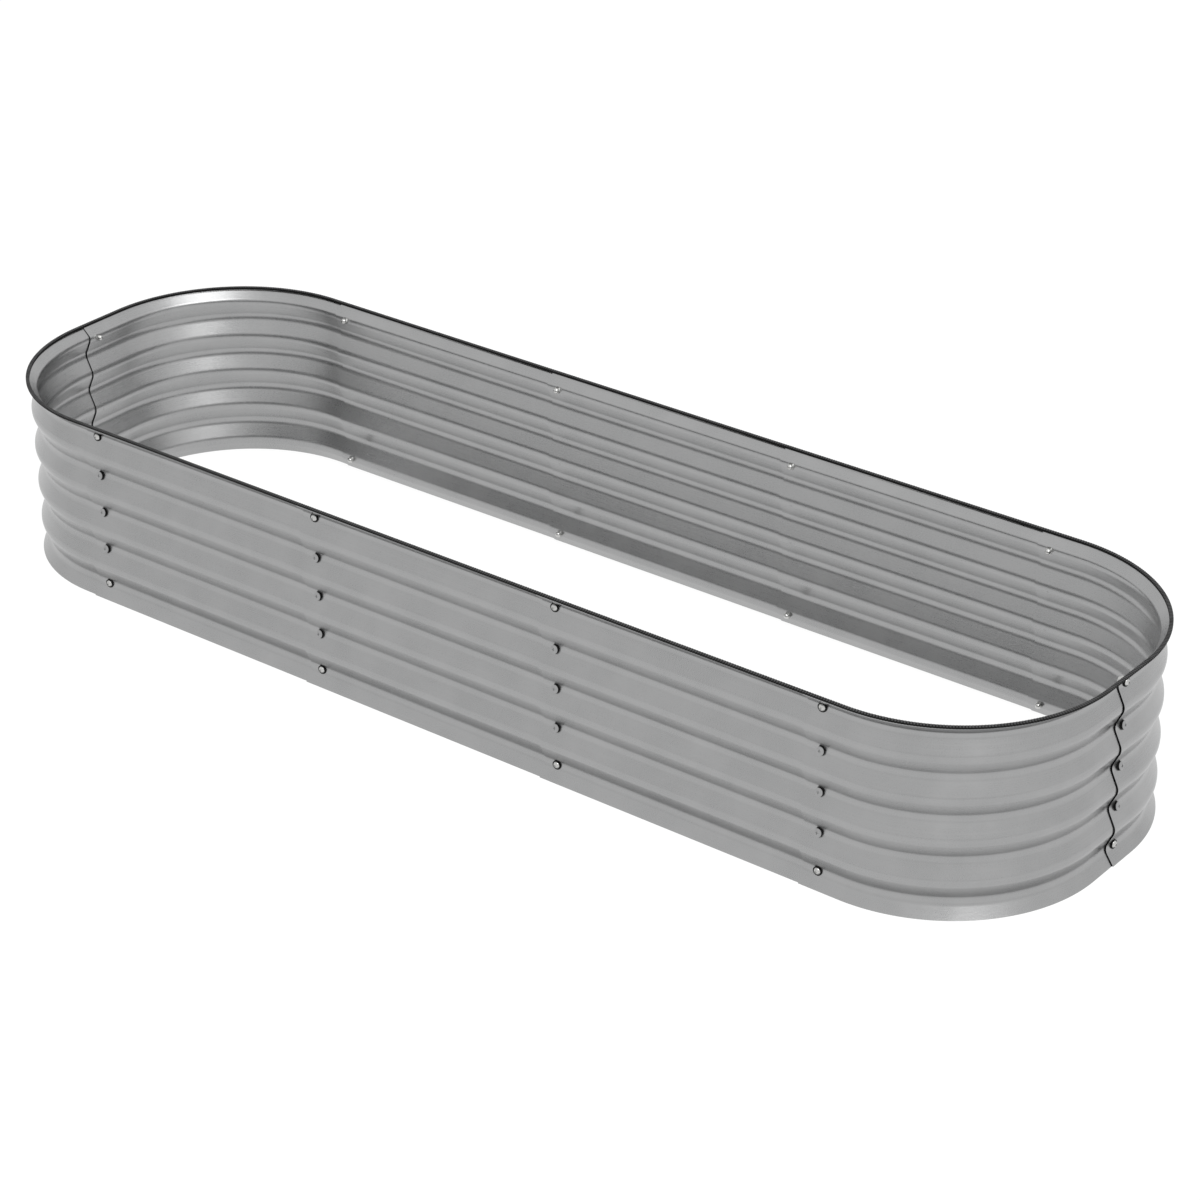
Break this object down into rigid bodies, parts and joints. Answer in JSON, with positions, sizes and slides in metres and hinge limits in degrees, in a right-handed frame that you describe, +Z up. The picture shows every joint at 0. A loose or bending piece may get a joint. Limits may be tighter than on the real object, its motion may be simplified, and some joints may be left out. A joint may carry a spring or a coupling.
{
  "type": "raised garden bed",
  "caption": "Long open-bottomed raised garden bed of corrugated steel panels bolted in laps, with round corners and a ribbed rubber strip over the top edge.",
  "frame": {"origin": "middle of the bed's plan, on the ground at the panels' bottom edge", "axes": "+X along the bed, towards the end at the picture's lower right; +Y from the long side nearest the camera (the front) to the far one (the back); +Z up"},
  "size_m": [1.9708, 0.6078, 0.3041],
  "materials": {
    "zinc_grey_sheet": "satin, fine-grained zinc coating",
    "black_rubber": "matte",
    "bright_steel": "polished",
    "grey_hardware": "satin"
  },
  "bodies": {
    "root": {"corner_panel_front_right": "zinc_grey_sheet", "corner_panel_back_right": "zinc_grey_sheet", "corner_panel_back_left": "zinc_grey_sheet", "corner_panel_front_left": "zinc_grey_sheet", "side_panel_front_left": "zinc_grey_sheet", "side_panel_front_middle": "zinc_grey_sheet", "side_panel_front_right": "zinc_grey_sheet", "side_panel_back_left": "zinc_grey_sheet", "side_panel_back_middle": "zinc_grey_sheet", "side_panel_back_right": "zinc_grey_sheet", "edge_strip": "black_rubber", "bolts_right_end": "bright_steel", "bolts_left_end": "bright_steel", "bolts_front_1": "bright_steel", "bolts_back_1": "bright_steel", "bolts_front_2": "bright_steel", "bolts_back_2": "bright_steel", "bolts_front_3": "bright_steel", "bolts_back_3": "bright_steel", "bolts_front_4": "bright_steel", "bolts_back_4": "bright_steel", "cap_nuts_right_end": "bright_steel", "cap_nuts_left_end": "bright_steel", "cap_nuts_front_1": "bright_steel", "cap_nuts_back_1": "bright_steel", "cap_nuts_front_2": "bright_steel", "cap_nuts_back_2": "bright_steel", "cap_nuts_front_3": "bright_steel", "cap_nuts_back_3": "bright_steel", "cap_nuts_front_4": "bright_steel", "cap_nuts_back_4": "bright_steel", "screws_right_end": "grey_hardware", "screws_left_end": "grey_hardware", "screws_front_1": "grey_hardware", "screws_back_1": "grey_hardware", "screws_front_2": "grey_hardware", "screws_back_2": "grey_hardware", "screws_front_3": "grey_hardware", "screws_back_3": "grey_hardware", "screws_front_4": "grey_hardware", "screws_back_4": "grey_hardware", "washers_right_end": "black_rubber", "washers_left_end": "black_rubber", "washers_front_1": "black_rubber", "washers_back_1": "black_rubber", "washers_front_2": "black_rubber", "washers_back_2": "black_rubber", "washers_front_3": "black_rubber", "washers_back_3": "black_rubber", "washers_front_4": "black_rubber", "washers_back_4": "black_rubber"}
  },
  "joints": []
}
